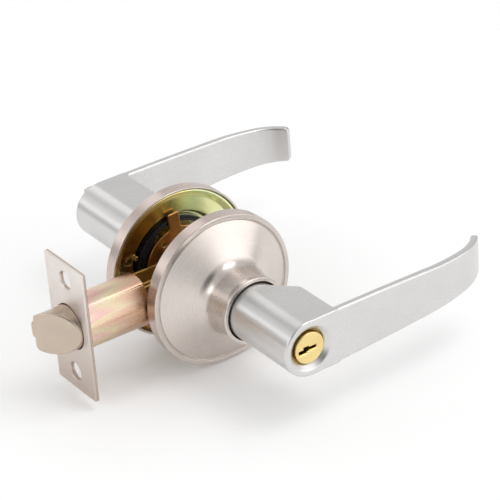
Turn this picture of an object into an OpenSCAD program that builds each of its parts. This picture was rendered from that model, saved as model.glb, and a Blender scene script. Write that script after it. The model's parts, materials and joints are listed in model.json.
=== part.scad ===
// Lever handle lockset for a hinged door: a keyed exterior lever, an interior lever with a
// turn button, two round roses and a tubular spring latch with a deadlatch plunger.
// Y runs along the spindle: the exterior side is at -Y, the interior side at +Y.
// The latch points to -X, both levers point to +X, and Z is up. The origin is where the
// spindle's axis crosses the latch's axis.

/* [Latch] */
// Distance from the faceplate's outer face to the spindle's axis
backset = 60.3; // [58:0.1:66]
// Width of the faceplate
plate_w = 27.2; // [25:0.1:28]
// Height of the faceplate
plate_h = 57.2; // [56:0.2:60]
// Thickness of the faceplate
plate_t = 0.9; // [0.8:0.1:1.6]
// Thickness of the backplate
backplate_t = 0.8; // [0.8:0.1:1.8]
// Distance between the two edge screws
edge_screw_spacing = 41.3; // [40:0.1:43]
// Outer radius of the latch tube
tube_r = 11; // [11:0.1:11.3]
// Wall of the latch tube
tube_wall = 0.8; // [0.7:0.1:0.8]
// Radius of the latch bolt
bolt_r = 9.3; // [9:0.1:9.3]
// How far the bolt stands out of the faceplate
bolt_throw = 12.5; // [11:0.5:12.5]

/* [Roses] */
// Gap between the roses with no door fitted
rose_gap = 24; // [24:0.5:26]
// Outer radius of a rose
rose_r = 32.2; // [32:0.1:33]
// Height of a rose's rim
rim_h = 5.6; // [5.4:0.1:5.8]
// Thickness of a rose's sheet
rose_sheet = 0.9; // [0.7:0.1:0.9]
// Slope of a rose's conical face, in degrees
face_slope = 27; // [24:1:28]
// Outer radius of a rose's neck behind its lip
neck_r = 13.6; // [13.5:0.1:13.8]
// Radius of the fillet between a rose's face and its neck
flare_r = 6; // [4:0.5:7]

/* [Levers] */
// Distance from the origin to the exterior lever's outer face
lever_face = 75.6; // [75:0.2:77]
// How much nearer the door the interior lever is
interior_shift = 2.6; // [2.4:0.2:4]
// Radius of a lever's shank
shank_r = 11.9; // [11.8:0.1:12]
// Distance from the spindle's axis to the shank's flat side
shank_flat = 13.5; // [13:0.1:14]
// Reach of a lever from the spindle's axis
lever_reach = 91.5; // [88:0.5:94]
// Thickness of the blade
blade_t = 3; // [2.8:0.1:3.2]
// Height of the blade's upper edge at its tip, above the spindle's axis
tip_top = 10.1; // [8:0.1:11]
// Depth of the blade's lower edge at its tip, below the spindle's axis
tip_bottom = 5.6; // [5:0.1:8]

/* [Cylinder and button] */
// Radius of the key plug's face
plug_face_r = 7; // [6.8:0.1:7]
// Radius of the key plug's body
plug_r = 5.5; // [5.4:0.1:5.5]
// Number of pin tumblers
pin_count = 5; // [3:1:5]
// Radius of the turn button
button_r = 8; // [7.6:0.1:8]
// How far the turn button stands out of its lever
button_out = 7; // [5.4:0.2:7.4]

/* [Fixings] */
// Side of the square spindle
spindle_w = 8; // [7.8:0.1:8]
// Distance from the spindle's axis to each mounting post
post_x = 23.6; // [23.4:0.1:23.6]
// Radius of a mounting post
post_r = 3.2; // [3:0.1:3.2]
// Radius of a mounting screw's shank
screw_r = 2; // [1.8:0.1:2]

/* [Hidden] */
$fn = 96;
running = 0.05;   // radial clearance of a running fit
cut = 1;          // how far a cutting tool passes the face that it cuts
big = 200;        // side of a half-space cutter

// Latch
plate_back = -backset + plate_t;
tube_x0 = plate_back;           // the tube passes through the backplate
tube_x1 = -29;
tube_flat = tube_r - 0.7;        // distance of each flat from the tube's axis
flat_lean = 36.4;                // angle of each flat's normal above the horizontal
bolt_hole_r = bolt_r + 0.3;
bolt_tip = -backset - bolt_throw;
bolt_rear = -47;
bolt_side = 6.3;                 // the flat beside the deadlatch plunger
bevel_x = -backset - 0.8;        // where the bevel meets the bolt's round side
bevel_over = 0.3;                // how far the bevel's cutter passes that side
bolt_spring_y = -5.2;
bolt_spring_r = 2.5;
bevel_y = 4.8;                   // where the bevel meets the bolt's blunt tip
edge_head_r = 4.2;               // clearance for the head of an edge screw
edge_hole_r = 3.5;
cap_t = 1;
cap_x = tube_x1 - cap_t - 0.5;
cap_gap = 0.2;                   // play round the tail in the end cap's slot
tail_y = -1.6;
tail_t = 1.2;
tail_half = 6.2;                 // half height of the tail inside the tube
post_play = 0.6;                 // free height above a post in the tail's slot
slot_half = post_r + post_play;
slot_x = -post_x - 16;
tongue = 5;
tongue_half = 3;
plunger_rear = -53;
plunger_half = 3.6;
plunger_spring_y = 7.6;
plunger_spring_r = 0.9;
side_plate_y = 5.2;
side_plate_t = 1;
side_plate_half = 7.6;
post_gap = 0.3;                  // clearance of a post through the side plates
cam_r = 7;
trunnion_r = 6.3;
arm_reach = 15.5;
arm_tip_r = 1.6;
arm_y = 0;
arm_t = 3;
hook_gap = 0.8;                  // free play before an arm meets its hook
hook_x = arm_tip_r + hook_gap;
hook_t = 1.4;
hook_z0 = 12.5;
hook_z1 = 17.2;
// The tail's upper prong behind the tube: its outer edge, then its inner edge back to the slot
prong_outer = [[-22, tail_half], [-19, 10.6], [-10, 14.4], [-4, hook_z1]];
prong_inner = [[-4, hook_z0], [-9, 10.6], [-15, 8], [-20.5, 8], [-20.5, slot_half]];

// Roses and mounting plates, as distances from the door's middle plane
rose_edge = rose_gap / 2;
rose_face = rose_edge + rim_h;
bead_w = 1.9;
bead_r = 0.5;
groove_w = 0.6;
groove_depth = 0.4;
face_rise = 0.2;
neck_len = 21.6;                 // from the rim's face to the end of the exterior neck
neck_lean = 4;                   // the neck narrows a little towards its lip, in degrees
lip_r = neck_r + 0.6;
lip_in_r = 12.5;                 // the lip is rolled in towards the lever's shank
roll_start = 3;
roll_end = 1.4;
lip_edge_r = 0.4;
dish_r = rose_r - rose_sheet - 0.2;
dish_t = 1;
dish_rim = rose_edge + 0.6;
dish_floor = rose_edge + 2.6;
rim_flat = 1;                    // width of the dish's flat rim
rim_fall = 3.2;                  // from the dish's edge to the foot of its slope
well_r = 21.2;                   // the deeper well that holds the return spring
well_floor = rose_edge + 4.6;
sleeve_r = 9;
hub_wall = 1.2;
stop_angles = [30, 156];
stop_r = 22.6;
stop_half = 0.9;

// Levers
shank_start = rose_face + neck_len - 2;
hub_end = shank_start - 3.2;
sleeve_end = 51.5;
clip_d = hub_end + 0.2;
corner_start = 2;                // where the square corner leaves the round shank
corner_len = 12.5;
bend_r = 80;                     // the blade's long bend, to its outer face
bend_turn = 14.5;
tip_bend_r = 25;                 // the tighter bend at its tip
tip_turn = 51.5;                 // how far the tip has turned towards the door
bend_x = lever_reach - bend_r * sin(bend_turn) - tip_bend_r * (sin(tip_turn) - sin(bend_turn));
tip_corner_r = 1.2;
top_slope = -0.006;              // how the blade's edges leave the shank
bottom_slope = 0.041;
edge_steps = 16;
clip_t = 0.8;
clip_groove = 0.4;
clip_rim = 1.6;
clip_gap_half = 2.2;
spindle_hole = spindle_w + 0.1;
driver_r = 15.8;
driver_t = 0.8;
driver_d = rose_edge + 0.4;
tab_w = 5.2;
tab_r = 22.6;
tab_angle = 93;
spring_d = driver_d + driver_t + 0.3;
spring_h = 2.4;
spring_strip = 0.9;
spring_r0 = 16.8;
spring_r1 = 19.5;
spring_turns = 2.25;
spring_angle = 120;
spring_steps = 24;
catch_r = 1.9;
catch_hole_r = 2;
catch_d = 44;
catch_out = 11.2;
catch_in = 8;
catch_floor = 4.7;
catch_spring_r = 1.2;

// Cylinder
housing_d0 = 53.6;
housing_d1 = lever_face - 2.6;
flange_d = housing_d1 - 2;
plug_front = lever_face - 0.6;
dish_edge_r = 9.5;
dish_depth = 1.5;
pin_r = 0.95;
pin_hole_r = 1;
pin_tip_r = 0.4;
pin_tip_h = 0.6;
pin_pitch = 3;
pin_d0 = 56.5;
pin_x = [1.6, 2.3, 1.9, 2.6, 2.1]; // how deep each key pin reaches into the keyway
pin_break = plug_r + running / 2;
driver_end = 7;
strip_x = 8;
strip_t = 0.6;
strip_half = 1.5;
strip_end = pin_d0 + pin_pitch * (pin_count - 1) + 2;
strip_over = 2;                  // how far the strip passes the end pins
keyway_steps = [[-4.9, -1.2, -1.6, -0.1], [-2.6, -0.3, -1.2, 0.9], [-0.8, 3.2, -0.9, 0.3]]; // x, x, z, z
keyway_back = 1.4;               // solid end behind the keyway
plug_neck_r = 3.4;
plug_clip_r = 6.4;
pin_spring_r = 0.6;
plug_gap = 0.55;                 // gap between the plug's face and the lever's mouth
dish_lip = 0.2;
bar_r = 1.6;
bar_start = 52.6;
bar_end = 36;
spindle_y0 = -50;
spindle_y1 = 36;
spindle_bore = 2.8;

// Turn button, as distances from the door's middle plane
button_face = lever_face - interior_shift + button_out;
grip_h = 5;                      // height of the bar that is gripped
grip_w = 5.8;
flange_end = 65.8;
washer_d = 64.1;
washer_r = 7.4;
washer_t = 0.6;
button_back = washer_d + 0.8;
button_flange_r = sleeve_r - 0.1;
grip_in = 0.6;                   // how far inside the button's edge the bar ends
bushing_d0 = 56;
button_shaft_r = 2.7;
button_shaft_d = 11;

// Posts and screws
post_end = 10;
screw_tip = -16;
head_h = 1;
head_r = 3.4;
head_gap = 0.2;                  // clearance of a head in the mounting plate's notch
recess_half = 0.4;               // half width of the cross recess
recess_depth = 0.7;
recess_reach = 2;

// ---------- shared helpers ----------

function arc(c, r, a0, a1, n = 12) =
    [for (i = [0:n]) c + r * [cos(a0 + (a1 - a0) * i / n), sin(a0 + (a1 - a0) * i / n)]];

// Draws a piece built towards +Y on the exterior side
module exterior() mirror([0, 1, 0]) children();

// Stands a profile of radius and distance up along +Y
module spun() rotate([-90, 0, 0]) rotate_extrude() children();

// A round bar along Y between two distances
module bar_y(r, d0, d1) translate([0, d0, 0]) rotate([-90, 0, 0]) cylinder(r = r, h = d1 - d0);

// A tube along Y between two distances
module tube_y(r_out, r_in, d0, d1)
    difference() {
        bar_y(r_out, d0, d1);
        bar_y(r_in, d0 - cut, d1 + cut);
    }

// A round bar along X between two places
module bar_x(r, x0, x1) translate([x0, 0, 0]) rotate([0, 90, 0]) cylinder(r = r, h = x1 - x0);

// A box between two corners
module block(a, b) translate(a) cube(b - a);

// A plan outline in X and Y, extruded in Z about the middle plane
module plan(h) translate([0, 0, -h / 2]) linear_extrude(height = h) children();

// A side outline in X and Z, extruded along Y between two distances
module side(d0, d1) translate([0, d1, 0]) rotate([90, 0, 0]) linear_extrude(height = d1 - d0) children();

// A helical coil of round wire along +Z, from 0 to len
module coil(r, wire, turns, len, steps = 12, sides = 6) {
    rings = turns * steps;
    points = [for (i = [0:rings]) for (j = [0:sides - 1])
        let (a = 360 * i / steps, b = 360 * j / sides, rr = r + wire * cos(b))
        [rr * cos(a), rr * sin(a), wire + (len - 2 * wire) * i / rings + wire * sin(b)]];
    walls = [for (i = [0:rings - 1]) for (j = [0:sides - 1])
        let (p = i * sides + j, q = i * sides + (j + 1) % sides)
        each [[p, p + sides, q + sides], [p, q + sides, q]]];
    first = [for (j = [0:sides - 1]) j];
    last = [for (j = [sides - 1:-1:0]) rings * sides + j];
    polyhedron(points, concat(walls, [first], [last]));
}

// ---------- latch ----------

// A round bar along X with the tube's two pressed flats
module round_x(x0, x1, r, flat)
    translate([x0, 0, 0]) rotate([0, 90, 0]) linear_extrude(height = x1 - x0)
        intersection_for(s = [-1, 1]) intersection() {
            circle(r);
            rotate(s * (90 + flat_lean)) translate([flat - big, -big / 2]) square(big);
        }

module edge_plate(x0, t, hole_r, bore_r)
    difference() {
        block([x0, -plate_w / 2, -plate_h / 2], [x0 + t, plate_w / 2, plate_h / 2]);
        bar_x(bore_r, x0 - cut, x0 + t + cut);
        for (s = [-1, 1])
            translate([0, 0, s * edge_screw_spacing / 2]) bar_x(hole_r, x0 - cut, x0 + t + cut);
    }

module latch_faceplate() color("#c9bdb4")
    edge_plate(-backset, plate_t, edge_head_r, bolt_hole_r);

module latch_backplate() color("#bfb2a6")
    edge_plate(plate_back, backplate_t, edge_hole_r, tube_r + running);

module latch_tube() color("#d3bd97")
    difference() {
        round_x(tube_x0, tube_x1, tube_r, tube_flat);
        round_x(tube_x0 - cut, tube_x1 + cut, tube_r - tube_wall, tube_flat - tube_wall);
    }

module latch_end_cap() color("#c9a24a")
    difference() {
        round_x(cap_x, cap_x + cap_t, tube_r - tube_wall - running, tube_flat - tube_wall - running);
        block([cap_x - cut, tail_y - cap_gap, -tail_half - cap_gap],
              [cap_x + cap_t + cut, tail_y + tail_t + cap_gap, tail_half + cap_gap]);
    }

module latch_side_plates() color("#c9a24a")
    for (s = [-1, 1])
        difference() {
            union() {
                translate([0, s * (side_plate_y + side_plate_t / 2), 0])
                    block([cap_x + cap_t, -side_plate_t / 2, -side_plate_half],
                          [0, side_plate_t / 2, side_plate_half]);
                bar_y(side_plate_half, min(s * side_plate_y, s * (side_plate_y + side_plate_t)),
                      max(s * side_plate_y, s * (side_plate_y + side_plate_t)));
            }
            bar_y(trunnion_r + running, -big / 2, big / 2);
            translate([-post_x, 0, 0]) bar_y(post_r + post_gap, -big / 2, big / 2);
        }

module latch_cam() color("#b98f45")
    difference() {
        union() {
            bar_y(trunnion_r, -side_plate_y - side_plate_t, side_plate_y + side_plate_t);
            bar_y(cam_r, -side_plate_y + running, side_plate_y - running);
            for (s = [-1, 1]) {
                translate([0, 0, s * arm_reach]) bar_y(arm_tip_r, arm_y, arm_y + arm_t);
                block([-arm_tip_r, arm_y, min(0, s * arm_reach)],
                      [arm_tip_r, arm_y + arm_t, max(0, s * arm_reach)]);
            }
        }
        block([-spindle_hole / 2, -big / 2, -spindle_hole / 2],
              [spindle_hole / 2, big / 2, spindle_hole / 2]);
    }

module latch_bolt() color("#b9aa9a")
    difference() {
        bar_x(bolt_r, bolt_tip, bolt_rear);
        plan(3 * bolt_r)
            polygon([[bevel_x, -bolt_r - bevel_over], [bolt_tip, bevel_y],
                     [bolt_tip - cut, bevel_y], [bolt_tip - cut, -bolt_r - bevel_over]]);
        block([bolt_tip - cut, bolt_side, -bolt_r - cut], [bolt_rear + cut, bolt_r + cut, bolt_r + cut]);
        block([bolt_rear - tongue - running, tail_y - running, -tongue_half - running],
              [bolt_rear + cut, tail_y + tail_t + running, tongue_half + running]);
    }

// The stamped tail: a tongue in the bolt, a slotted stem, and two prongs with hooks
module bolt_tail() color("#c79a3e") {
    side(tail_y, tail_y + tail_t)
        union() {
            translate([bolt_rear - tongue, -tongue_half]) square([tongue + cut, 2 * tongue_half]);
            for (s = [-1, 1])
                scale([1, s])
                    polygon(concat([[bolt_rear, 0], [bolt_rear, tail_half]], prong_outer,
                                   [[hook_x + hook_t, hook_z1], [hook_x + hook_t, hook_z0]],
                                   prong_inner, [[slot_x, slot_half], [slot_x, 0]]));
        }
    for (s = [-1, 1])
        block([hook_x, tail_y + tail_t, min(s * hook_z0, s * hook_z1)],
              [hook_x + hook_t, arm_y + arm_t + 0.2, max(s * hook_z0, s * hook_z1)]);
}

module bolt_spring() color("#9a9a98")
    translate([bolt_rear, bolt_spring_y, 0]) rotate([0, 90, 0])
        coil(bolt_spring_r, wire = 0.45, turns = 8, len = cap_x - bolt_rear);

module deadlatch_plunger() color("#c4b6a6")
    intersection() {
        bar_x(bolt_r, bolt_tip, plunger_rear);
        block([bolt_tip - cut, bolt_side + running, -plunger_half],
              [plunger_rear + cut, bolt_r + cut, plunger_half]);
    }

module plunger_spring() color("#9a9a98")
    translate([plunger_rear, plunger_spring_y, 0]) rotate([0, 90, 0])
        coil(plunger_spring_r, wire = 0.24, turns = 11, len = cap_x - plunger_rear, steps = 10, sides = 5);

// ---------- roses and mounting plates, built on the +Y side ----------

// The fillet that leads from a rose's conical face into its leaning neck, at the sheet's
// outside, or at its inside when t is the sheet's thickness
function flare(t, neck_end) =
    let (out = [sin(face_slope), cos(face_slope)], side = [cos(neck_lean), sin(neck_lean)],
         a = flare_r + out * [rose_r - bead_w - groove_w, rose_face - face_rise],
         b = flare_r + side * [neck_r, neck_end - roll_start],
         c = [out[1] * b - side[1] * a, side[0] * a - out[0] * b] / cos(face_slope + neck_lean))
    arc(c, flare_r + t, 270 - face_slope, 180 + neck_lean, 16);

function rose_outside(neck_end) = concat(
    [[rose_r, rose_edge]],
    arc([rose_r - bead_r, rose_face - bead_r], bead_r, 0, 90, 6),
    [[rose_r - bead_w, rose_face],
     [rose_r - bead_w - groove_w / 2, rose_face - groove_depth],
     [rose_r - bead_w - groove_w, rose_face - face_rise]],
    flare(0, neck_end),
    [[neck_r, neck_end - roll_start], [lip_r, neck_end - roll_end]],
    arc([lip_r - lip_edge_r, neck_end - lip_edge_r], lip_edge_r, 0, 90, 4));

function rose_inside(neck_end) = concat(
    [[rose_r - rose_sheet, rose_edge], [rose_r - rose_sheet, rose_face - rose_sheet],
     [rose_r - bead_w - groove_w - rose_sheet * sin(face_slope),
      rose_face - face_rise - rose_sheet * cos(face_slope)]],
    flare(rose_sheet, neck_end),
    [[neck_r - rose_sheet, neck_end - roll_start], [neck_r - rose_sheet, neck_end - roll_end],
     [lip_in_r, neck_end - roll_end], [lip_in_r, neck_end]]);

function reversed(list) = [for (i = [len(list) - 1:-1:0]) list[i]];

module rose(neck_end)
    spun() polygon(concat(rose_outside(neck_end), reversed(rose_inside(neck_end))));

// A dished plate with a deeper well for the return spring and a hub for the lever's
// sleeve. The well's wall is notched so that the mounting screws' heads can pass.
module mounting_plate(hub_d)
    difference() {
        union() {
            spun() polygon([
                [dish_r, dish_rim], [dish_r, dish_rim + dish_t], [dish_r - rim_flat, dish_rim + dish_t],
                [dish_r - rim_fall, dish_floor + dish_t], [well_r + dish_t, dish_floor + dish_t],
                [well_r, well_floor + dish_t], [sleeve_r + running + hub_wall, well_floor + dish_t],
                [sleeve_r + running + hub_wall, hub_d], [sleeve_r + running, hub_d],
                [sleeve_r + running, well_floor], [well_r - dish_t, well_floor],
                [well_r, dish_floor], [dish_r - rim_fall, dish_floor], [dish_r - rim_flat, dish_rim]]);
            for (a = stop_angles)
                rotate([0, -a, 0])
                    block([well_r, dish_rim, -stop_half], [stop_r, dish_floor + running, stop_half]);
        }
        for (s = [-1, 1]) translate([s * post_x, 0, 0]) {
            bar_y(screw_r + head_gap, 0, big);
            bar_y(head_r + head_gap, dish_floor + dish_t, big);
        }
    }

module exterior_rose() color("#c6bab2") exterior() rose(rose_face + neck_len);

module interior_rose() color("#c6bab2") rose(rose_face + neck_len - interior_shift);

module exterior_mounting_plate() color("#b3a24c") exterior() mounting_plate(hub_end);

module interior_mounting_plate() color("#b3a24c") mounting_plate(hub_end - interior_shift);

module exterior_posts() color("#a9a9a4")
    for (s = [-1, 1])
        translate([s * post_x, 0, 0])
            tube_y(post_r, screw_r + running, -dish_floor, post_end);

module mounting_screws() color("#9c9c98")
    for (s = [-1, 1])
        translate([s * post_x, 0, 0])
            difference() {
                union() {
                    bar_y(screw_r, screw_tip, dish_floor + dish_t + head_h / 2);
                    bar_y(head_r, dish_floor + dish_t, dish_floor + dish_t + head_h);
                }
                for (a = [0, 90])
                    rotate([0, a, 0])
                        block([-recess_half, dish_floor + dish_t + head_h - recess_depth, -recess_reach],
                              [recess_half, big, recess_reach]);
            }

// ---------- levers, built on the +Y side, moved in by shift ----------

// The upper half of the blade's side view: an edge that leaves the shank at a slope and
// curves down to the tip, with a small round corner
function blade_half(slope, tip) = concat(
    [[lever_reach, 0], [0, 0]],
    [for (i = [0:edge_steps]) let (x = (lever_reach - tip_corner_r) * i / edge_steps)
        [x, shank_r - slope * x - (shank_r - slope * lever_reach - tip) * pow(x / lever_reach, 2)]],
    arc([lever_reach - tip_corner_r, tip - tip_corner_r], tip_corner_r, 85, 0, 6));

// One face of the blade seen from above, set in from its outer face
function blade_face(face, inset) =
    let (c = [bend_x, face - bend_r], toward = [sin(bend_turn), cos(bend_turn)])
    concat([[0, face - inset]],
           arc(c, bend_r - inset, 90, 90 - bend_turn, 10),
           arc(c + (bend_r - tip_bend_r) * toward, tip_bend_r - inset,
               90 - bend_turn, 90 - tip_turn, 16));

module blade(face)
    intersection() {
        plan(3 * shank_r) polygon(concat(blade_face(face, 0), reversed(blade_face(face, blade_t))));
        side(0, face) union() {
            polygon(blade_half(top_slope, tip_top));
            scale([1, -1]) polygon(blade_half(bottom_slope, tip_bottom));
        }
    }

// The shank is round at the rose and squares off towards the blade
module shank(shift) {
    bar_y(shank_r, shank_start - shift, lever_face - shift);
    plan(2 * shank_r)
        polygon([[0, shank_start - shift], [corner_start, shank_start + corner_start - shift],
                 [shank_flat, shank_start + corner_len - shift], [shank_flat, lever_face - shift],
                 [0, lever_face - shift]]);
}

module lever(shift, bore_end, mouth_r)
    difference() {
        union() {
            shank(shift);
            blade(lever_face - shift);
        }
        bar_y(sleeve_r + running, shank_start - shift - cut, bore_end);
        bar_y(mouth_r, bore_end - cut, lever_face);
        translate([0, catch_d - shift, -big / 2]) cylinder(r = catch_hole_r, h = big / 2);
    }

module exterior_lever() color("#c4c3c3") exterior()
    difference() {
        lever(0, housing_d1 + running, plug_face_r + plug_gap);
        translate([0, lever_face - dish_depth, 0]) rotate([-90, 0, 0])
            cylinder(r1 = plug_face_r + plug_gap + dish_lip, r2 = dish_edge_r, h = dish_depth + running);
    }

module interior_lever() color("#c4c3c3")
    lever(interior_shift, flange_end + 2 * running, button_r + 3 * running);

// The sleeve turns in the mounting plate's hub and carries the lever
module sleeve(shift)
    difference() {
        bar_y(sleeve_r, driver_d, sleeve_end - shift);
        block([-spindle_hole / 2, 0, -spindle_hole / 2], [spindle_hole / 2, big, spindle_hole / 2]);
        tube_y(sleeve_r + cut, sleeve_r - clip_groove, clip_d - shift, clip_d - shift + clip_t);
        translate([0, catch_d - shift, -big]) cylinder(r = catch_hole_r, h = big - catch_floor);
    }

module exterior_sleeve() color("#b9a45c") exterior() sleeve(0);

module interior_sleeve() color("#b9a45c") sleeve(interior_shift);

module sleeve_clip(shift)
    difference() {
        tube_y(sleeve_r + clip_rim, sleeve_r - clip_groove + running,
               clip_d - shift + running, clip_d - shift + clip_t - running);
        block([-big, 0, -clip_gap_half], [0, big, clip_gap_half]);
    }

module exterior_sleeve_clip() color("#5b5c5e") exterior() sleeve_clip(0);

module interior_sleeve_clip() color("#5b5c5e") sleeve_clip(interior_shift);

// The tabbed plate on the sleeve's inner end, which winds the return spring
module spring_driver()
    difference() {
        union() {
            bar_y(driver_r, driver_d, driver_d + driver_t);
            rotate([0, -tab_angle, 0])
                block([0, driver_d, -tab_w / 2], [tab_r, driver_d + driver_t, tab_w / 2]);
        }
        bar_y(sleeve_r, driver_d - cut, driver_d + driver_t + cut);
    }

module exterior_spring_driver() color("#a5673a") exterior() spring_driver();

module interior_spring_driver() color("#a5673a") spring_driver();

function spiral(dr) = [for (i = [0:spring_steps * spring_turns])
    let (t = i / (spring_steps * spring_turns), a = spring_angle + 360 * spring_turns * t,
         r = spring_r0 + (spring_r1 - spring_r0) * t + dr)
    r * [cos(a), sin(a)]];

// A flat clock spring wound in the mounting plate's well
module return_spring()
    side(spring_d, spring_d + spring_h)
        polygon(concat(spiral(-spring_strip / 2), reversed(spiral(spring_strip / 2))));

module exterior_return_spring() color("#26272a") exterior() return_spring();

module interior_return_spring() color("#26272a") return_spring();

// The pin under the shank that lets the lever off its sleeve when it is pressed
module lever_catch(shift)
    translate([0, catch_d - shift, -catch_out]) cylinder(r = catch_r, h = catch_out - catch_in);

module exterior_lever_catch() color("#8f8f8c") exterior() lever_catch(0);

module interior_lever_catch() color("#8f8f8c") lever_catch(interior_shift);

module catch_spring(shift)
    translate([0, catch_d - shift, -catch_in])
        coil(catch_spring_r, wire = 0.25, turns = 3, len = catch_in - catch_floor, steps = 10, sides = 5);

module exterior_catch_spring() color("#9a9a98") exterior() catch_spring(0);

module interior_catch_spring() color("#9a9a98") catch_spring(interior_shift);

// ---------- key cylinder, built on the +Y side and mirrored ----------

// Places a piece at each pin chamber, with +Z along the chamber
module at_pins() for (i = [0:pin_count - 1])
    translate([0, pin_d0 + pin_pitch * i, 0]) rotate([0, 90, 0]) children();

module cylinder_housing() color("#c8a14c") exterior()
    difference() {
        bar_y(sleeve_r, housing_d0, housing_d1);
        bar_y(plug_r + running, housing_d0 - cut, housing_d1 + cut);
        bar_y(plug_face_r + running, flange_d - running, housing_d1 + cut);
        at_pins() cylinder(r = pin_hole_r, h = strip_x + cut);
        block([strip_x, pin_d0 - strip_over, -strip_half - running],
              [big, strip_end + running, strip_half + running]);
    }

// The keyway, wider in the middle where the key's side grooves run
module keyway(d0, d1)
    for (k = keyway_steps) block([k[0], d0, k[2]], [k[1], d1, k[3]]);

module key_plug() color("#d9b24e") exterior()
    difference() {
        union() {
            bar_y(plug_r, housing_d0, flange_d + cut);
            bar_y(plug_face_r, flange_d, plug_front);
            bar_y(plug_neck_r, bar_start, housing_d0 + cut);
        }
        keyway(housing_d0 + keyway_back, plug_front + cut);
        at_pins() cylinder(r = pin_hole_r, h = plug_r + cut);
    }

module plug_clip() color("#5b5c5e") exterior()
    tube_y(plug_clip_r, plug_neck_r + running, bar_start + running, housing_d0 - running);

module key_pins() color("#d8b85e") exterior()
    for (i = [0:pin_count - 1])
        translate([pin_x[i], pin_d0 + pin_pitch * i, 0]) rotate([0, 90, 0]) {
            cylinder(r1 = pin_tip_r, r2 = pin_r, h = pin_tip_h);
            translate([0, 0, pin_tip_h])
                cylinder(r = pin_r, h = plug_r - running - pin_x[i] - pin_tip_h);
        }

module driver_pins() color("#bfbfba") exterior()
    at_pins() translate([0, 0, pin_break]) cylinder(r = pin_r, h = driver_end - pin_break);

module pin_springs() color("#9a9a98") exterior()
    at_pins() translate([0, 0, driver_end])
        coil(pin_spring_r, wire = 0.15, turns = 2, len = strip_x - driver_end, steps = 10, sides = 5);

module pin_cover_strip() color("#c8a14c") exterior()
    block([strip_x, pin_d0 - strip_over + running, -strip_half],
          [strip_x + strip_t, strip_end, strip_half]);

module lock_bar() color("#a9a9a4") bar_y(bar_r, -bar_start, bar_end);

module spindle() color("#a9a9a4")
    difference() {
        block([-spindle_w / 2, spindle_y0, -spindle_w / 2], [spindle_w / 2, spindle_y1, spindle_w / 2]);
        bar_y(spindle_bore, spindle_y0 - cut, spindle_y1 + cut);
    }

// ---------- turn button ----------

module turn_button() color("#bdb9b6") {
    bar_y(button_flange_r, button_back, flange_end);
    bar_y(button_r, flange_end - running, button_face - grip_h);
    intersection() {
        bar_y(button_r - grip_in, flange_end, button_face);
        block([-grip_w / 2, flange_end, -button_r], [grip_w / 2, button_face, button_r]);
    }
}

module button_shaft() color("#a9a9a4")
    tube_y(button_shaft_r, bar_r + 2 * running, button_shaft_d, button_back);

module button_bushing() color("#c8a14c")
    tube_y(sleeve_r, button_shaft_r + running, bushing_d0, washer_d - 2 * running);

module detent_washer() color("#5b5c5e")
    tube_y(washer_r, button_shaft_r + 2 * running, washer_d, washer_d + washer_t);

latch_faceplate();
latch_backplate();
latch_tube();
latch_end_cap();
latch_side_plates();
latch_cam();
latch_bolt();
bolt_tail();
bolt_spring();
deadlatch_plunger();
plunger_spring();
exterior_rose();
exterior_mounting_plate();
exterior_posts();
exterior_lever();
exterior_sleeve();
exterior_sleeve_clip();
exterior_spring_driver();
exterior_return_spring();
exterior_lever_catch();
exterior_catch_spring();
cylinder_housing();
key_plug();
plug_clip();
key_pins();
driver_pins();
pin_springs();
pin_cover_strip();
lock_bar();
spindle();
interior_rose();
interior_mounting_plate();
mounting_screws();
interior_lever();
interior_sleeve();
interior_sleeve_clip();
interior_spring_driver();
interior_return_spring();
interior_lever_catch();
interior_catch_spring();
turn_button();
button_shaft();
button_bushing();
detent_washer();
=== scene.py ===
import json
import math

import bpy
import numpy as np
from mathutils import Matrix, Vector


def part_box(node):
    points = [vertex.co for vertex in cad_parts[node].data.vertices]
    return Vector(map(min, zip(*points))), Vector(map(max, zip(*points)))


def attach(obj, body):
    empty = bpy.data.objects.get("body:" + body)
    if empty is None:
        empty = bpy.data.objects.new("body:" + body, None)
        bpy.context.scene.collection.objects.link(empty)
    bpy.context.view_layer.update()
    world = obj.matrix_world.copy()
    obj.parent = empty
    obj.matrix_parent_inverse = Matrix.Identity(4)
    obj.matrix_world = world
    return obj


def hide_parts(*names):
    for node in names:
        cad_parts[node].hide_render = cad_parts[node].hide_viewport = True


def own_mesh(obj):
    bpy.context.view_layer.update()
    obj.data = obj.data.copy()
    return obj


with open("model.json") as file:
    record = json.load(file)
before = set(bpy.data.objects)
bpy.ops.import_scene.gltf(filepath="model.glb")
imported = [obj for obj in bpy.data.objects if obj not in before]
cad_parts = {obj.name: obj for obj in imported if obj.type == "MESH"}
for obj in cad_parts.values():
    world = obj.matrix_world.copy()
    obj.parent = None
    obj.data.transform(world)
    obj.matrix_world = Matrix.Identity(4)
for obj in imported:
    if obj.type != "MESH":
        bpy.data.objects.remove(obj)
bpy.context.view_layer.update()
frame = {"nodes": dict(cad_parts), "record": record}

MM = 0.001
AXES = "xyz"

# ---------- sizes, from the CAD boxes ----------


def corner(node, end, axis):
    """One side of a CAD node's box, in millimetres."""
    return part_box(node)[end][AXES.index(axis)] / MM


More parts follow.
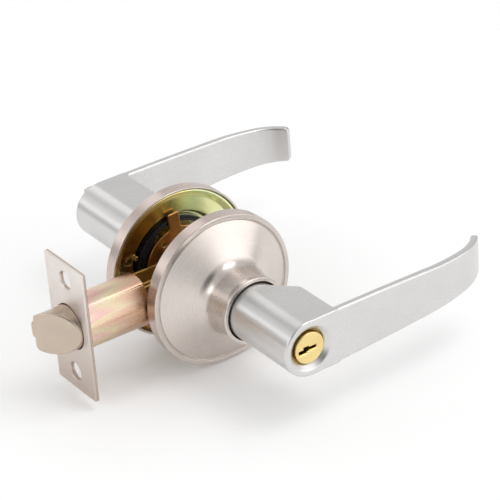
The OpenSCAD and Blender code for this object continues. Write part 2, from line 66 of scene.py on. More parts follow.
ROSE_R = corner("exterior_rose", 1, "x")
ROSE_EDGE = -corner("exterior_rose", 1, "y")
EXT_NECK_END = -corner("exterior_rose", 0, "y")
INT_NECK_END = corner("interior_rose", 1, "y")
FACE = -corner("exterior_lever", 0, "y")
SHANK_START = -corner("exterior_lever", 1, "y")
SHIFT = FACE - corner("interior_lever", 1, "y")
SHANK_R = -corner("exterior_lever", 0, "x")
REACH = corner("exterior_lever", 1, "x")
BACKSET = -corner("latch_faceplate", 0, "x")
PLATE_BACK = -corner("latch_faceplate", 1, "x")
CASE_BACK = -corner("latch_backplate", 1, "x")
TUBE_X0 = corner("latch_tube", 0, "x")
TUBE_X1 = corner("latch_tube", 1, "x")
BOLT_TIP = corner("latch_bolt", 0, "x")
BOLT_REAR = corner("latch_bolt", 1, "x")
BOLT_R = corner("latch_bolt", 1, "z")
PLUNGER_REAR = corner("deadlatch_plunger", 1, "x")
PLATE_W = corner("latch_faceplate", 1, "y") * 2
PLATE_H = corner("latch_faceplate", 1, "z") * 2
BUTTON_FACE = corner("turn_button", 1, "y")
BUTTON_BACK = corner("turn_button", 0, "y")
DRIVER_D = corner("interior_spring_driver", 0, "y")
SPRING_D = corner("interior_return_spring", 0, "y")
SPRING_END = corner("interior_return_spring", 1, "y")
DISH_R = corner("interior_mounting_plate", 1, "x")
EXT_HUB_END = -corner("exterior_mounting_plate", 0, "y")
INT_HUB_END = corner("interior_mounting_plate", 1, "y")
PLUG_FRONT = -corner("key_plug", 0, "y")
PLUG_REAR = -corner("key_plug", 1, "y")
HOUSING_END = -corner("cylinder_housing", 0, "y")
CATCH_D = -(corner("exterior_lever_catch", 0, "y") + corner("exterior_lever_catch", 1, "y")) / 2
SCREW_SPACING = frame["record"]["mounts"][1]["dims"]["spacing_y_mm"]

# ---------- mesh tools ----------


def add_to_scene(name, data):
    """A new object in the scene, from a mesh, a light or a camera."""
    obj = bpy.data.objects.new(name, data)
    bpy.context.scene.collection.objects.link(obj)
    return obj


def new_object(name, verts, faces):
    """A smooth mesh object from points in millimetres."""
    mesh = bpy.data.meshes.new(name)
    mesh.from_pydata((np.asarray(verts) * MM).tolist(), [], [tuple(int(i) for i in f) for f in faces])
    mesh.validate()
    mesh.update()
    mesh.shade_smooth()
    return add_to_scene(name, mesh)


def flip_y(verts, faces):
    """Mirrors a piece built on the interior side onto the exterior side."""
    return verts * np.array([1, -1, 1]), [f[::-1] for f in faces]


def meet(a, b, r):
    """The overlap of two solids, with its edge rounded to r."""
    return np.minimum(-r, np.maximum(a, b)) + np.hypot(np.maximum(r + a, 0), np.maximum(r + b, 0))


def join(a, b, r):
    """The union of two solids, with a fillet of r where they meet."""
    return np.maximum(r, np.minimum(a, b)) - np.hypot(np.maximum(r - a, 0), np.maximum(r - b, 0))


def cut_from(a, tool, r):
    """a without the tool, with the cut's edge rounded to r."""
    return meet(a, -tool, r)


def between(v, low, high):
    """The slab where low < v < high."""
    return np.maximum(low - v, v - high)


def grid_faces(inside, cell_index):
    """One quad across each grid edge that passes through the surface, facing outwards."""
    faces = []
    for axis in range(3):
        u, v = (axis + 1) % 3, (axis + 2) % 3
        a = np.moveaxis(inside, (axis, u, v), (0, 1, 2))
        c = np.moveaxis(cell_index, (axis, u, v), (0, 1, 2))
        low, high = a[:-1, 1:-1, 1:-1], a[1:, 1:-1, 1:-1]
        ring = np.stack([c[:, :-1, :-1], c[:, 1:, :-1], c[:, 1:, 1:], c[:, :-1, 1:]], axis=-1)
        outwards = ring[low & ~high]
        inwards = ring[high & ~low][:, ::-1]
        faces += [outwards, inwards]
    return np.concatenate(faces)


PROBE = 1e-4            # how far apart the surface is sampled for its slope, in millimetres
LEAST_SLOPE = 0.05      # keeps a point from leaping where the slope is nearly nothing
RELAX_ROUNDS = 3


def solid_mesh(shape, low, high, step):
    """Meshes the surface shape(x, y, z) = 0 on a grid, then slides its points onto the surface."""
    box = np.array([low, high], float)
    low, high = box[0] - 2 * step, box[1] + 2 * step
    axes = [np.arange(a, b + step, step) for a, b in zip(low, high)]
    inside = shape(*np.meshgrid(*axes, indexing="ij")) < 0
    n, m, p = (size - 1 for size in inside.shape)
    corners = sum(inside[i:i + n, j:j + m, k:k + p].astype(np.int8)
                  for i in (0, 1) for j in (0, 1) for k in (0, 1))
    crossed = (corners > 0) & (corners < 8)
    cell_index = np.full(crossed.shape, -1)
    cell_index[crossed] = np.arange(crossed.sum())
    faces = grid_faces(inside, cell_index)
    points = low + (np.argwhere(crossed) + 0.5) * step
    tips = np.array([[1, -1, -1], [-1, -1, 1], [-1, 1, -1], [1, 1, 1]]) * PROBE

    def settle(points, rounds):
        for _ in range(rounds):
            values = np.stack([shape(*(points + t).T) for t in tips])
            slope = np.tensordot(values, tips, (0, 0)) / (len(tips) * PROBE ** 2)
            steep = np.maximum((slope ** 2).sum(1, keepdims=True), LEAST_SLOPE)
            points = points - np.clip(values.mean(0)[:, None] * slope / steep, -step, step)
        return np.clip(points, *box)

    points = settle(points, 4)
    ends = np.concatenate([faces[:, [i, (i + 1) % 4]] for i in range(4)])
    near = np.bincount(ends[:, 0], minlength=len(points))[:, None]
    for _ in range(RELAX_ROUNDS):
        total = np.stack([np.bincount(ends[:, 0], points[ends[:, 1], i], len(points))
                          for i in range(3)], axis=1)
        points = settle(0.5 * points + 0.5 * total / np.maximum(near, 1), 2)
    return points, faces


def placed(name, verts, faces, exterior):
    """An object built on the interior side, mirrored if it belongs to the exterior half."""
    return new_object(name, *(flip_y(verts, faces) if exterior else (verts, faces)))


def solid(name, shape, low, high, step, exterior=False):
    """A rounded solid as an object, from its shape function and its box."""
    return placed(name, *solid_mesh(shape, low, high, step), exterior)


LATHE_SEGMENTS = 192


def lathe(profile):
    """Turns a closed outline of (radius, distance along Y) about the Y axis."""
    profile = np.array(profile, float)
    n, turns = len(profile), LATHE_SEGMENTS
    angles = np.linspace(0, 2 * math.pi, turns, endpoint=False)
    verts = np.stack([profile[None, :, 0] * np.cos(angles)[:, None],
                      np.broadcast_to(profile[None, :, 1], (turns, n)),
                      profile[None, :, 0] * np.sin(angles)[:, None]], axis=-1).reshape(-1, 3)
    faces = [(s * n + i, s * n + (i + 1) % n, (s + 1) % turns * n + (i + 1) % n,
              (s + 1) % turns * n + i) for s in range(turns) for i in range(n)]
    return verts, faces


def arc(centre, r, a0, a1, n=10):
    """Points on an arc, with angles in degrees."""
    return [(centre[0] + r * math.cos(math.radians(a0 + (a1 - a0) * i / n)),
             centre[1] + r * math.sin(math.radians(a0 + (a1 - a0) * i / n))) for i in range(n + 1)]


def area_sign(profile):
    """Positive when an outline runs anticlockwise."""
    p = np.array(profile)
    q = np.roll(p, -1, axis=0)
    return np.sign((p[:, 0] * q[:, 1] - q[:, 0] * p[:, 1]).sum())


HOLD = 0.2      # how near to an outline's corners its extra points lie


def hold_edges(profile):
    """Adds points near both ends of each long straight run, so that the run shades flat."""
    held = []
    for (r0, d0), (r1, d1) in zip(profile, profile[1:] + profile[:1]):
        held.append((r0, d0))
        length = math.hypot(r1 - r0, d1 - d0)
        if length > 5 * HOLD:
            near = HOLD / length
            held += [(r0 + (r1 - r0) * t, d0 + (d1 - d0) * t) for t in (near, 1 - near)]
    return held


def turned(name, profile, exterior=False):
    """A turned piece, with its faces looking out."""
    verts, faces = lathe(hold_edges(profile))
    if area_sign(profile) > 0:
        faces = [f[::-1] for f in faces]
    return placed(name, verts, faces, exterior)


def finish_piece(piece, material, body, slot, *nodes):
    """Gives a piece its material, and says what it rides on and which nodes it stands for."""
    piece.data.materials.clear()
    piece.data.materials.append(material)
    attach(piece, body)
    if nodes:
        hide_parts(*nodes)
    return piece


# ---------- material tools ----------


class Nodes:
    """Adds nodes to a material or to the world."""

    def __init__(self, tree):
        self.tree = tree

    def feed(self, socket, value):
        """Links an output to an input, or sets the input to a value."""
        if isinstance(value, bpy.types.NodeSocket):
            self.tree.links.new(value, socket)
        elif value is not None:
            socket.default_value = value

    def add(self, kind, inputs=(), **settings):
        """A node with its settings, and with its inputs linked or set, in order."""
        node = self.tree.nodes.new(kind)
        for key, value in settings.items():
            setattr(node, key, value)
        for socket, value in zip(node.inputs, inputs):
            self.feed(socket, value)
        return node

    def math(self, op, *values):
        return self.add("ShaderNodeMath", values, operation=op).outputs[0]

    def remap(self, value, from_low, from_high, low, high, curve="LINEAR"):
        return self.add("ShaderNodeMapRange", (value, from_low, from_high, low, high),
                        interpolation_type=curve).outputs["Result"]

    def dot(self, a, b):
        return self.add("ShaderNodeVectorMath", (a, b), operation="DOT_PRODUCT").outputs["Value"]


class Shader(Nodes):
    """One material's nodes."""

    def __init__(self, name):
        self.material = bpy.data.materials.new(name)
        self.material.use_nodes = True
        super().__init__(self.material.node_tree)
        self.bsdf = self.tree.nodes["Principled BSDF"]

    def set(self, **values):
        """Sets or links the inputs of the material's shader."""
        for key, value in values.items():
            self.feed(self.bsdf.inputs[key.replace("_", " ")], value)

    def coords(self, scale=(1, 1, 1)):
        """Object coordinates in millimetres, stretched by scale."""
        mapping = self.add("ShaderNodeMapping", [self.add("ShaderNodeTexCoord").outputs["Object"]])
        mapping.inputs["Scale"].default_value = [s / MM for s in scale]
        return mapping.outputs["Vector"]

    def split(self):
        """Object coordinates in millimetres, as x, y and z."""
        return self.add("ShaderNodeSeparateXYZ", [self.coords()]).outputs

    def noise(self, scale, detail, rough=0.5):
        """Noise over a vector, or over the object with so many cells per millimetre of each axis."""
        vector = scale if isinstance(scale, bpy.types.NodeSocket) else self.coords(scale)
        node = self.add("ShaderNodeTexNoise")
        for key, value in (("Vector", vector), ("Scale", 1.0), ("Detail", detail), ("Roughness", rough)):
            self.feed(node.inputs[key], value)
        return node.outputs["Fac"]

    def ramp(self, fac, stops):
        node = self.add("ShaderNodeValToRGB", [fac])
        elements = node.color_ramp.elements
        while len(elements) < len(stops):
            elements.new(0.5)
        for element, (place, color) in zip(elements, stops):
            element.position = place
            element.color = (*color, 1)
        return node.outputs["Color"]

    def spread(self, fac, low, high):
        """Maps a noise's middle range onto low..high."""
        return self.remap(fac, 0.3, 0.7, low, high)

    def bump(self, height, strength, relief, edge=0.0):
        """Shading for a fine relief, and for edges broken by some radius; both in millimetres."""
        node = self.add("ShaderNodeBump")
        edges = self.add("ShaderNodeBevel", [edge * MM], samples=4).outputs["Normal"] if edge else None
        for key, value in (("Strength", strength), ("Distance", relief * MM), ("Height", height),
                           ("Normal", edges)):
            self.feed(node.inputs[key], value)
        return node.outputs["Normal"]

    def mix(self, fac, a, b):
        """A colour between a and b."""
        node = self.add("ShaderNodeMix", data_type="RGBA", blend_type="MIX")
        for socket, value in ((node.inputs[0], fac), (node.inputs[6], a), (node.inputs[7], b)):
            self.feed(socket, (*value, 1) if isinstance(value, tuple) else value)
        return node.outputs[2]

    def patchy(self, color, shade, scale, detail=3.0):
        """A colour that drifts in soft patches to a darker shade of itself."""
        patches = self.noise((scale,) * 3, detail)
        return self.mix(self.spread(patches, 0, 1), tuple(c * shade for c in color), color)

    def ring_marks(self, axis, aniso):
        """Stretches highlights the way that fine marks round an axis do."""
        self.set(Anisotropic=aniso, Anisotropic_Rotation=0.25,
                 Tangent=self.add("ShaderNodeTangent", direction_type="RADIAL", axis=axis).outputs[0])


RIM_TINT = (0.86, 0.79, 0.77)


def brushed_round(name, color, rough, aniso, rim_r=100.0):
    """Satin metal brushed round the Y axis, a little darker and warmer past the radius rim_r."""
    s = Shader(name)
    x, y, z = s.split()
    radius = s.math("SQRT", s.math("ADD", s.math("MULTIPLY", x, x), s.math("MULTIPLY", z, z)))
    turn = s.math("ABSOLUTE", s.math("ARCTAN2", z, x))
    along = [s.math("MULTIPLY", part, fine) for part, fine in ((radius, 9.0), (y, 9.0), (turn, 5.0))]
    streaks = s.noise(s.add("ShaderNodeCombineXYZ", along).outputs[0], 3.0, 0.6)
    tint = s.patchy(color, 0.93, 0.09)
    rim = s.math("MULTIPLY", s.math("GREATER_THAN", radius, rim_r), s.spread(streaks, 0.6, 1.0))
    rim_color = tuple(c * t for c, t in zip(color, RIM_TINT))
    s.ring_marks("Y", aniso)
    s.set(Metallic=1.0, Base_Color=s.mix(rim, tint, rim_color),
          Roughness=s.spread(streaks, rough - 0.05, rough + 0.07),
          Normal=s.bump(streaks, 0.18, 0.012))
    return s.material


BLADE_START = 12.0, 16.0        # where the brushing turns from the shank's way to the blade's


def lever_satin(name, color, rough, aniso):
    """Satin metal brushed along the blade and along the shank."""
    s = Shader(name)
    streaks = s.noise((0.25, 7, 7), 3.0, 0.6)
    on_blade = s.remap(s.split()[0], *BLADE_START, 0.12, 1.0)
    across = s.add("ShaderNodeCombineXYZ", (0.0, s.math("SUBTRACT", 1.0, on_blade), on_blade))
    turn = s.add("ShaderNodeVectorTransform", [across.outputs[0]], vector_type="VECTOR",
                 convert_from="OBJECT", convert_to="WORLD")
    s.set(Metallic=1.0, Anisotropic=aniso, Tangent=turn.outputs[0],
          Base_Color=s.patchy(color, 0.94, 0.06),
          Roughness=s.spread(streaks, rough - 0.05, rough + 0.06),
          Normal=s.bump(streaks, 0.16, 0.012))
    return s.material


def satin_grain(name, color, rough, painted_shade_below=None):
    """Fine-grained satin plate, with small pits; its tint may darken towards its lower end as painted
    shade.
    """
    s = Shader(name)
    grain = s.noise((5, 5, 5), 3.0, 0.6)
    tint = s.patchy(color, 0.9, 0.12, 4.0)
    if painted_shade_below:
        # Painted shade: the tint darkens towards the plate's lower end.
        tint = s.mix(s.math("MULTIPLY_ADD", s.split()[2], -1 / 50, 0.5), tint, painted_shade_below)
    s.set(Metallic=1.0, Base_Color=tint, Roughness=s.spread(grain, rough - 0.04, rough + 0.06),
          Normal=s.bump(grain, 0.15, 0.01))
    return s.material


def chromate(name, stops, scale, rough, edge=0.0, lean=(0, 0, 0), low=0.02, high=0.94, marks=None):
    """Iridescent zinc chromate: film colours that drift in patches, and a colour drift along the lean,
    which on the mounting plates is painted highlight and shade.
    """
    s = Shader(name)
    drift = s.noise(scale, 2.5, 0.45)
    fine = s.noise((1.3, 1.3, 1.3), 3.0, 0.6)
    # On the mounting plates the drift along the lean is painted highlight and painted shade.
    film = s.math("MULTIPLY_ADD", fine, 0.04, s.dot(s.coords(), lean))
    film = s.math("ADD", s.spread(drift, low, high), film)
    if marks:
        s.ring_marks(marks, 0.65)
    s.set(Metallic=1.0, Base_Color=s.ramp(film, stops),
          Roughness=s.spread(fine, rough - 0.03, rough + 0.04),
          Normal=s.bump(fine, 0.05, 0.02, edge))
    return s.material


def plain_metal(name, color, rough, edge):
    """Small machined or stamped pieces: broken edges, faint tool marks and uneven colour."""
    s = Shader(name)
    marks = s.noise((3, 3, 3), 4.0, 0.65)
    s.set(Metallic=1.0, Base_Color=s.patchy(color, 0.78, 0.3),
          Roughness=s.spread(marks, rough - 0.05, rough + 0.08),
          Normal=s.bump(marks, 0.1, 0.02, edge))
    return s.material


def blued_steel(name):
    """Oiled black spring steel."""
    s = Shader(name)
    marks = s.noise((2, 2, 2), 4.0, 0.6)
    tint = s.mix(s.spread(marks, 0, 1), (0.008, 0.009, 0.012), (0.03, 0.034, 0.045))
    s.set(Metallic=0.55, Coat_Weight=0.7, Coat_Roughness=0.12, Base_Color=tint,
          Roughness=s.spread(marks, 0.22, 0.36),
          Normal=s.bump(marks, 0.1, 0.02, 0.15))
    return s.material


# ---------- materials ----------

rose_metal = brushed_round("rose_satin_nickel", (0.71, 0.645, 0.60), 0.25, 0.7, ROSE_R - 0.2)
lever_metal = lever_satin("lever_satin_nickel", (0.71, 0.70, 0.69), 0.29, 0.68)
# The faceplate's colour darkens towards its lower end: painted shade.
plate_metal = satin_grain("faceplate_satin_nickel", (0.85, 0.79, 0.75), 0.40, (0.60, 0.51, 0.45))
# The backplate takes a darker, browner copy of the plate's nickel: painted shade where it shows in the
# screw holes.
backplate_shaded_metal = satin_grain("backplate_shaded_nickel", (0.60, 0.50, 0.42), 0.36)
bolt_metal = satin_grain("bolt_satin_nickel", (0.61, 0.51, 0.42), 0.25)
button_metal = brushed_round("button_satin_nickel", (0.62, 0.60, 0.59), 0.3, 0.5)
tube_metal = chromate("latch_tube_chromate", [
    (0.0, (0.42, 0.22, 0.12)), (0.3, (0.56, 0.34, 0.20)), (0.5, (0.72, 0.48, 0.36)),
    (0.68, (0.76, 0.65, 0.44)), (0.85, (0.80, 0.52, 0.47)), (1.0, (0.84, 0.70, 0.58))],
    (0.012, 0.16, 0.16), 0.28, lean=(-0.0145, 0, 0), low=-0.24, high=0.26, marks="X")
# The lean paints the plate brighter and greener towards the upper right and darker to the left: painted
# highlight and painted shade over the film's own colour.
dish_metal = chromate("mounting_plate_chromate", [
    (0.0, (0.26, 0.13, 0.05)), (0.35, (0.60, 0.42, 0.16)), (0.6, (0.92, 0.80, 0.36)),
    (0.8, (0.88, 0.93, 0.52)), (1.0, (0.74, 0.86, 0.70))],
    (0.05, 0.05, 0.05), 0.24, lean=(0.014, 0, 0.008), low=0.28, high=0.62, marks="Y")
driver_metal = chromate("spring_driver_chromate", [
    (0.0, (0.35, 0.16, 0.06)), (0.5, (0.62, 0.33, 0.13)), (0.8, (0.80, 0.50, 0.20)),
    (1.0, (0.85, 0.66, 0.25))],
    (0.08, 0.08, 0.08), 0.3, edge=0.2)
gold_brass = satin_grain("plug_polished_brass", (0.95, 0.74, 0.33), 0.18)
stamped_brass = plain_metal("stamped_brass", (0.78, 0.56, 0.22), 0.3, 0.2)
zinc_steel = plain_metal("zinc_plated_steel", (0.60, 0.60, 0.58), 0.3, 0.15)
spring_black = blued_steel("blued_spring_steel")

MATERIAL_OF_SLOT = {
    "rose_nickel": rose_metal, "lever_nickel": lever_metal, "plate_nickel": plate_metal,
    "bolt_nickel": bolt_metal, "chromate": dish_metal, "copper_chromate": driver_metal,
    "blued_steel": spring_black, "polished_brass": gold_brass, "stamped_brass": stamped_brass,
    "zinc_steel": zinc_steel, "button_nickel": button_metal}

for entry in frame["record"]["subparts"]:
    node = frame["nodes"][entry["node"]]
    node.data.materials.clear()
    node.data.materials.append(MATERIAL_OF_SLOT[entry["material_slot"]])

# ---------- levers ----------

SHANK_FLAT = 13.5                                   # the shank's square side, from its axis
CORNER_RUN, CORNER_RISE = 12.5 / 17, 11.5 / 17      # lean of the cut across the square's corner
CORNER_START = 2.0
BLADE_T = 3.0
BEND_R, BEND_TURN = 80.0, math.radians(14.5)        # the blade's long bend
TIP_BEND_R, TIP_TURN = 25.0, math.radians(51.5)     # the tighter bend at its tip
BEND_X = REACH - BEND_R * math.sin(BEND_TURN) - TIP_BEND_R * (math.sin(TIP_TURN) - math.sin(BEND_TURN))
TIP_TOP, TIP_BOTTOM = 10.1, 5.6                     # the blade's half heights at its tip
TOP_SLOPE, BOTTOM_SLOPE = -0.006, 0.041             # the slopes of its edges at the shank
SLEEVE_R = 9.05
EXT_MOUTH_R, INT_MOUTH_R = 7.25, 8.15               # the round openings for the plug and button
EXT_DISH_R = 9.5                                    # the funnel round the plug
DISH_COS, DISH_SIN, DISH_DEPTH = 0.64, 0.77, 1.7    # its slope and its depth
CATCH_HOLE_R = 2.0                                  # the hole for the catch pin
LEVER_STEP = 0.4


def blade_edge(x, slope, tip):
    """Half of the blade's height: an edge that leaves the shank at a slope and curves to the tip."""
    return SHANK_R - slope * x - (SHANK_R - slope * REACH - tip) * (x / REACH) ** 2


def blade_sheet(x, d, face):
    """Distances from the blade's sheet, straight and then bent twice, and from its end."""
    x, d = x - BEND_X, d - face
    across = BEND_R - TIP_BEND_R
    x_tip, d_tip = x - across * math.sin(BEND_TURN), d + BEND_R - across * math.cos(BEND_TURN)
    at_tip = x_tip * math.cos(BEND_TURN) > d_tip * math.sin(BEND_TURN)
    bend = np.where(at_tip, np.hypot(x_tip, d_tip) - TIP_BEND_R, np.hypot(x, d + BEND_R) - BEND_R)
    outer = np.where(x < 0, d, bend)
    end = x_tip * math.cos(TIP_TURN) - d_tip * math.sin(TIP_TURN)
    return np.maximum(outer, -outer - BLADE_T), end


def shank_shape(x, d, z, start, face):
    """A round shank whose side towards the blade is square, less its inner corner."""
    corner_cut = (x - CORNER_START) * CORNER_RUN - (d - start - CORNER_START) * CORNER_RISE
    square = meet(meet(np.abs(z) - SHANK_R, x - SHANK_FLAT, 0.7), corner_cut, 1.2)
    section = np.minimum(np.hypot(x, z) - SHANK_R, np.maximum(square, -x))
    return meet(section, between(d, start, face), 0.7)


def blade_shape(x, d, z, face):
    sheet, end = blade_sheet(x, d, face)
    top, bottom = blade_edge(x, TOP_SLOPE, TIP_TOP), blade_edge(x, BOTTOM_SLOPE, TIP_BOTTOM)
    outline = meet(np.maximum(z - top, -z - bottom), end, 2.0)
    return np.maximum(meet(sheet, outline, 0.8), -x)


def lever_shape(face, bore_end, mouth_r, dish_r):
    """The lever as a rounded solid, built on the interior side."""
    start = face - FACE + SHANK_START

    def shape(x, d, z):
        body = join(shank_shape(x, d, z, start, face), blade_shape(x, d, z, face), 0.5)
        radius = np.hypot(x, z)
        body = cut_from(body, np.maximum(radius - SLEEVE_R, d - bore_end), 0.3)
        body = cut_from(body, radius - mouth_r, 0.25)
        if dish_r:
            funnel = (radius - dish_r) * DISH_COS - (d - face) * DISH_SIN
            body = cut_from(body, np.maximum(funnel, face - DISH_DEPTH - d), 0.35)
        catch = np.maximum(np.hypot(x, d - face + FACE - CATCH_D) - CATCH_HOLE_R, z)
        return cut_from(body, catch, 0.25)

    return shape


def lever(name, face, bore_end, mouth_r, dish_r, exterior):
    low = (-SHANK_R, face - FACE + SHANK_START, -SHANK_R)
    return solid(name, lever_shape(face, bore_end, mouth_r, dish_r), low,
                 (REACH, face, SHANK_R), LEVER_STEP, exterior)


finish_piece(lever("exterior_lever_cast", FACE, HOUSING_END + 0.05, EXT_MOUTH_R, EXT_DISH_R, True),
             lever_metal, "exterior_lever", "lever_nickel", "exterior_lever")
finish_piece(lever("interior_lever_cast", FACE - SHIFT, BUTTON_BACK + 1.0, INT_MOUTH_R, 0, False),
             lever_metal, "interior_lever", "lever_nickel", "interior_lever")

# ---------- roses ----------

SHEET = 0.9
RIM_H = 5.6
RIM_ROUND = 0.4         # the fillet where the rim meets the bead, and that of the lip
BEAD_W = 1.9
BEAD_ROUND = 0.3
GROOVE_W = 0.6
FACE_SLOPE = 27.0       # the cone's slope and the neck's lean, in degrees
NECK_LEAN = 4.0
NECK_R = 13.6
FLARE_R = 6.0
LIP_START = 3.0         # where the neck starts to widen, from its end
LIP_R = NECK_R + 0.6
LIP_IN_R = 12.5
LIP_IN_ROUND = 0.35


def flare(thickness, neck_end):
    """The fillet from a rose's conical face into its leaning neck, at one side of the sheet."""
    slope, lean = math.radians(FACE_SLOPE), math.radians(NECK_LEAN)
    out, side = (math.sin(slope), math.cos(slope)), (math.cos(lean), math.sin(lean))
    edge = np.dot(out, (ROSE_R - BEAD_W - GROOVE_W, ROSE_EDGE + RIM_H - 0.2))
    neck = np.dot(side, (NECK_R, neck_end - LIP_START))
    centre = np.linalg.solve([out, side], [edge + FLARE_R, neck + FLARE_R])
    return arc(centre, FLARE_R + thickness, 270 - FACE_SLOPE, 180 + NECK_LEAN, 30)


def rose_outside(neck_end):
    """The seen side of a rose: rim, bead, groove, cone, neck and rolled-in lip."""
    face = ROSE_EDGE + RIM_H
    groove = ROSE_R - BEAD_W - GROOVE_W / 2
    line = [(ROSE_R - 0.15, ROSE_EDGE), (ROSE_R, ROSE_EDGE + 0.15)]
    line += arc((ROSE_R - RIM_ROUND, face - RIM_ROUND), RIM_ROUND, 0, 80, 6)
    line += arc((ROSE_R - BEAD_W + BEAD_ROUND, face - BEAD_ROUND), BEAD_ROUND, 90, 180, 5)
    line += arc((groove, face - 0.4), GROOVE_W / 2, 0, -180, 6)
    line += [(groove - 0.32, face - 0.3), (groove - 0.42, face - 0.14)]
    line += flare(0, neck_end)
    line += [(NECK_R, neck_end - LIP_START), (NECK_R + 0.1, neck_end - 2.5),
             (NECK_R + 0.4, neck_end - 1.8), (LIP_R - 0.06, neck_end - 1.2)]
    line += arc((LIP_R - RIM_ROUND, neck_end - RIM_ROUND), RIM_ROUND, 0, 90, 6)
    return line + arc((LIP_IN_R + LIP_IN_ROUND, neck_end - LIP_IN_ROUND), LIP_IN_ROUND, 90, 180, 5)


def rose_inside(neck_end):
    """The hidden side of a rose, from the lip back to the rim."""
    face = ROSE_EDGE + RIM_H
    line = [(LIP_IN_R, neck_end - 1.1), (NECK_R - SHEET, neck_end - 1.6),
            (NECK_R - SHEET, neck_end - LIP_START)]
    line += flare(SHEET, neck_end)[::-1]
    line += [(ROSE_R - BEAD_W - 1.0, face - 1.0)]
    line += arc((ROSE_R - SHEET - 0.4, face - SHEET - 0.4), 0.4, 90, 0, 4)
    return line + [(ROSE_R - SHEET, ROSE_EDGE + 0.15), (ROSE_R - SHEET + 0.15, ROSE_EDGE)]


def rose(name, neck_end, exterior):
    return turned(name, rose_outside(neck_end) + rose_inside(neck_end), exterior)


finish_piece(rose("exterior_rose_spun", EXT_NECK_END, True),
             rose_metal, "exterior_half", "rose_nickel", "exterior_rose")
finish_piece(rose("interior_rose_spun", INT_NECK_END, False),
             rose_metal, "interior_half", "rose_nickel", "interior_rose")

# ---------- mounting plates ----------

WELL_R = 21.2
SHEET_T = 1.0
DISH_RISES = (0.6, 2.6, 4.6)    # how far its rim, floor and well lie inside the rose's edge
STOP_ANGLES = (30, 156)         # the stops for the spring driver's tab
STOP_R = 22.6
STOP_W = 1.8
SCREW_X = 23.6
SCREW_HOLE_R = 2.2
SCREW_SEAT_R, SCREW_SEAT_RISE = 3.6, 3.6
EMBOSS_R = 24.2                 # the embossed rings' places, and their size
EMBOSS_ANGLES = (20, 160, 200, 340)
RING_R, RING_W, RING_H = 1.7, 0.5, 0.3
DISH_STEP = 0.36


def polar(r, degrees):
    """A place in the XZ plane."""
    return r * math.cos(math.radians(degrees)), r * math.sin(math.radians(degrees))


def sheet_distance(r, d, line):
    """Distance from a pressed sheet that follows a line of (radius, distance) points."""
    nearest = np.full(r.shape, 1e3)
    for (r0, d0), (r1, d1) in zip(line, line[1:]):
        run, rise = r1 - r0, d1 - d0
        t = np.clip(((r - r0) * run + (d - d0) * rise) / (run * run + rise * rise), 0, 1)
        nearest = np.minimum(nearest, np.hypot(r - r0 - t * run, d - d0 - t * rise))
    return nearest - SHEET_T / 2


def dish_shape(hub_end):
    """A pressed plate: rim, floor, well and hub, with stops, screw holes and embossed rings."""
    half = SHEET_T / 2
    rim, floor, well = (ROSE_EDGE + rise + half for rise in DISH_RISES)
    line = [(DISH_R - half, rim), (DISH_R - 1.0, rim), (DISH_R - 2.9, floor), (WELL_R + 0.6, floor),
            (WELL_R - 0.4, well), (SLEEVE_R + half, well), (SLEEVE_R + half, hub_end - half)]

    def shape(x, d, z):
        raised = 0.0
        for angle in EMBOSS_ANGLES:
            ring_x, ring_z = polar(EMBOSS_R, angle)
            far = np.hypot(x - ring_x, z - ring_z)
            raised = raised + RING_H * np.exp(-((far - RING_R) / RING_W) ** 2)
        body = sheet_distance(np.hypot(x, z), d + raised, line)
        for angle in STOP_ANGLES:
            cos, sin = polar(1, angle)
            out, over = x * cos + z * sin, -x * sin + z * cos
            stop = meet(np.abs(over) - STOP_W / 2, between(out, WELL_R, STOP_R), 0.2)
            body = join(body, meet(stop, between(d, ROSE_EDGE + DISH_RISES[0], floor), 0.25), 0.4)
        from_screw = np.hypot(np.abs(x) - SCREW_X, z)
        body = cut_from(body, from_screw - SCREW_HOLE_R, 0.15)
        seat = np.maximum(from_screw - SCREW_SEAT_R, ROSE_EDGE + SCREW_SEAT_RISE - d)
        return cut_from(body, seat, 0.15)

    return shape


def embossed_dish(name, hub_end, exterior):
    return solid(name, dish_shape(hub_end), (-DISH_R, ROSE_EDGE + DISH_RISES[0], -DISH_R),
                 (DISH_R, hub_end, DISH_R), DISH_STEP, exterior)


finish_piece(embossed_dish("exterior_dish", EXT_HUB_END, True),
             dish_metal, "exterior_half", "chromate", "exterior_mounting_plate")
finish_piece(embossed_dish("interior_dish", INT_HUB_END, False),
             dish_metal, "interior_half", "chromate", "interior_mounting_plate")

# ---------- latch faceplate, backplate and tube ----------

FACE_HOLE_R, BACK_HOLE_R = 3.7, 3.5     # the screw holes, at the narrow end of their sinks
SINK_H = 0.7                            # how deep the sinks are
PLATE_CORNER, PLATE_ROUND = 0.5, 0.22
PLATE_STEP = 0.28
TUBE_R = 11.0


def plate_shape(x0, x1, hole_r, sink, bore_r):
    """A plate from x0 to x1 with two screw holes, which may widen outwards, and the latch's bore."""
    def shape(x, y, z):
        outline = meet(np.abs(y) - PLATE_W / 2, np.abs(z) - PLATE_H / 2, PLATE_CORNER)
        body = meet(outline, between(x, x0, x1), PLATE_ROUND)
        hole = np.hypot(y, np.abs(z) - SCREW_SPACING / 2) - hole_r
        body = cut_from(body, hole - sink * np.clip(x0 + SINK_H - x, 0, SINK_H), 0.2)
        return cut_from(body, np.hypot(y, z) - bore_r, 0.15)

    return shape


def plate(name, x0, x1, hole_r, sink, bore_r):
    return solid(name, plate_shape(x0, x1, hole_r, sink, bore_r), (x0, -PLATE_W / 2, -PLATE_H / 2),
                 (x1, PLATE_W / 2, PLATE_H / 2), PLATE_STEP)


finish_piece(plate("faceplate_pressed", -BACKSET, -PLATE_BACK, FACE_HOLE_R, 0.7, BOLT_R + 0.3),
             plate_metal, "latch_case", "plate_nickel", "latch_faceplate")
finish_piece(plate("backplate_pressed", -PLATE_BACK, -CASE_BACK, BACK_HOLE_R, 0.0, TUBE_R + 0.05),
             backplate_shaded_metal, "latch_case", "plate_nickel", "latch_backplate")

